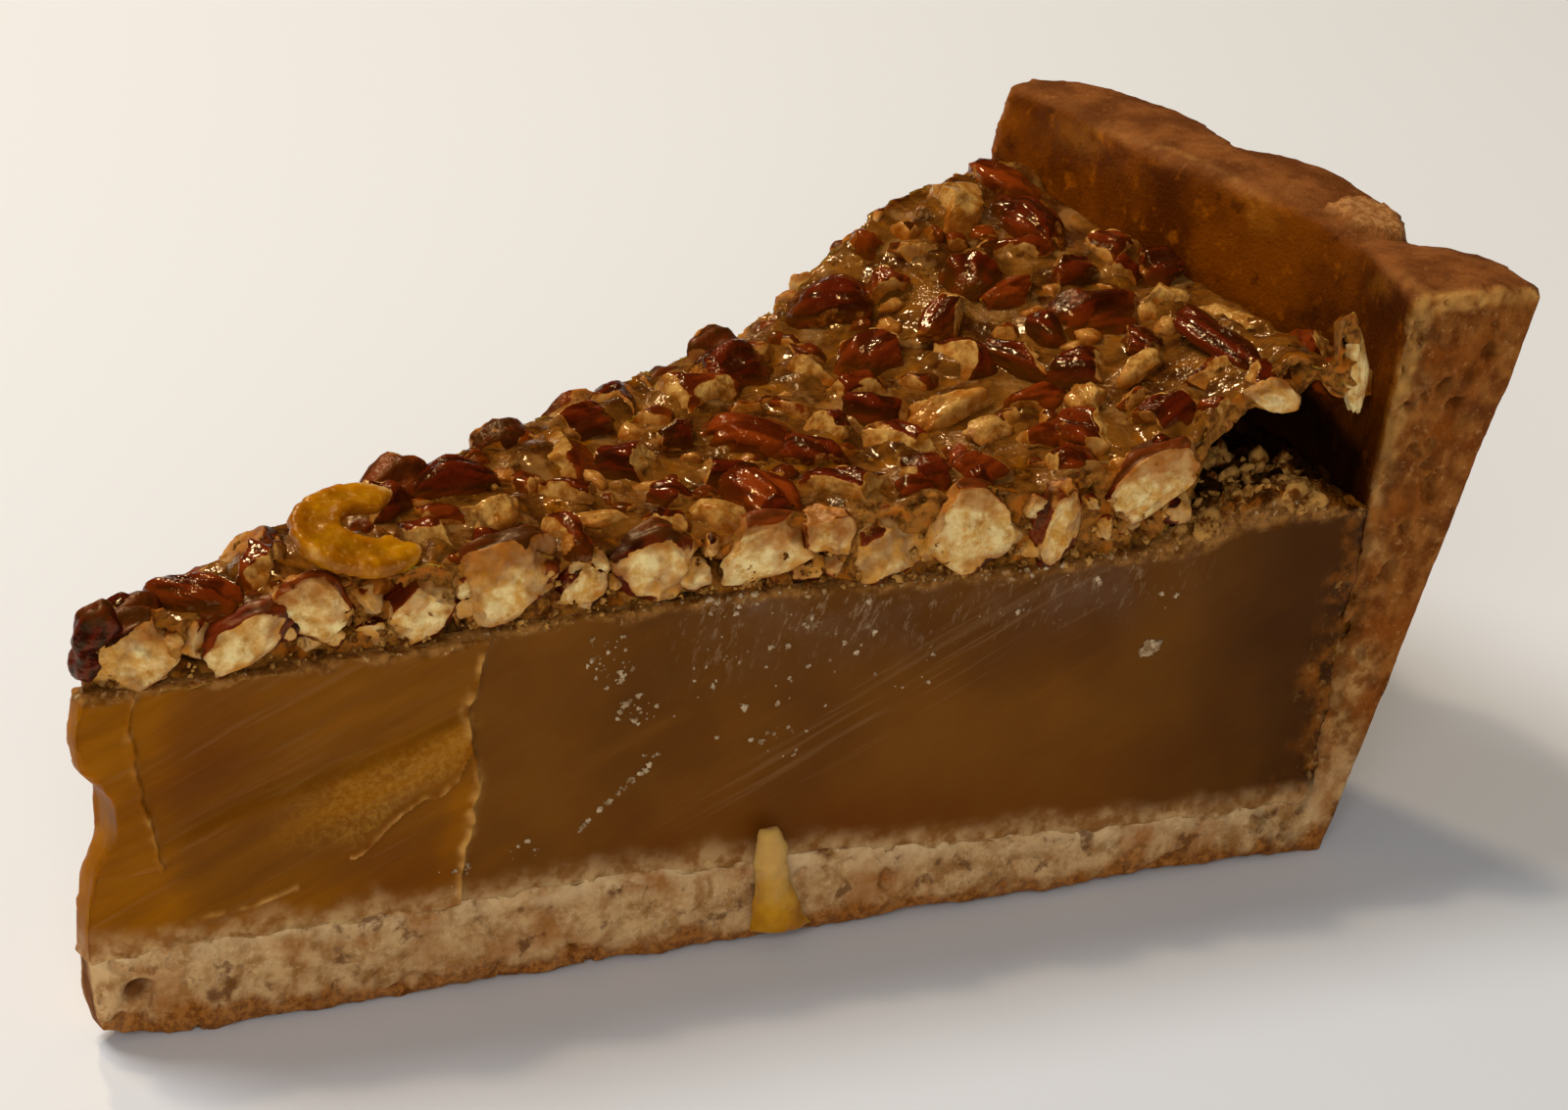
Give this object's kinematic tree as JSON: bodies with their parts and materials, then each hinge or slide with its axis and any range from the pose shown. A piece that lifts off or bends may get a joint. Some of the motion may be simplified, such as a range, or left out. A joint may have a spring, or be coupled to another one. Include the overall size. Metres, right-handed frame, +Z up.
{
  "type": "pecan pie slice",
  "caption": "Wedge of deep pecan pie: fluted shortcrust shell, thick set filling and a glazed layer of chopped pecans lifting beside the wall.",
  "frame": {"origin": "on the flat underside, under the middle of the slice, 62 mm from the axis where the two cuts meet", "axes": "+X from the point to the rim, along the line midway between the cuts; +Y towards the far cut; +Z up"},
  "size_m": [0.1216, 0.059, 0.0504],
  "materials": {
    "crust": "baked shortcrust, crumbly at the cuts, matt",
    "filling": "set custard, smooth and faintly waxy",
    "pecans": "chopped nuts under a wet sugar glaze",
    "amber_glaze": "set glaze, glossy and slightly see-through"
  },
  "bodies": {
    "root": {"crust": "crust", "filling": "filling", "pecan_topping": "pecans", "glaze_curl": "amber_glaze", "filling_drop": "amber_glaze"}
  },
  "joints": []
}
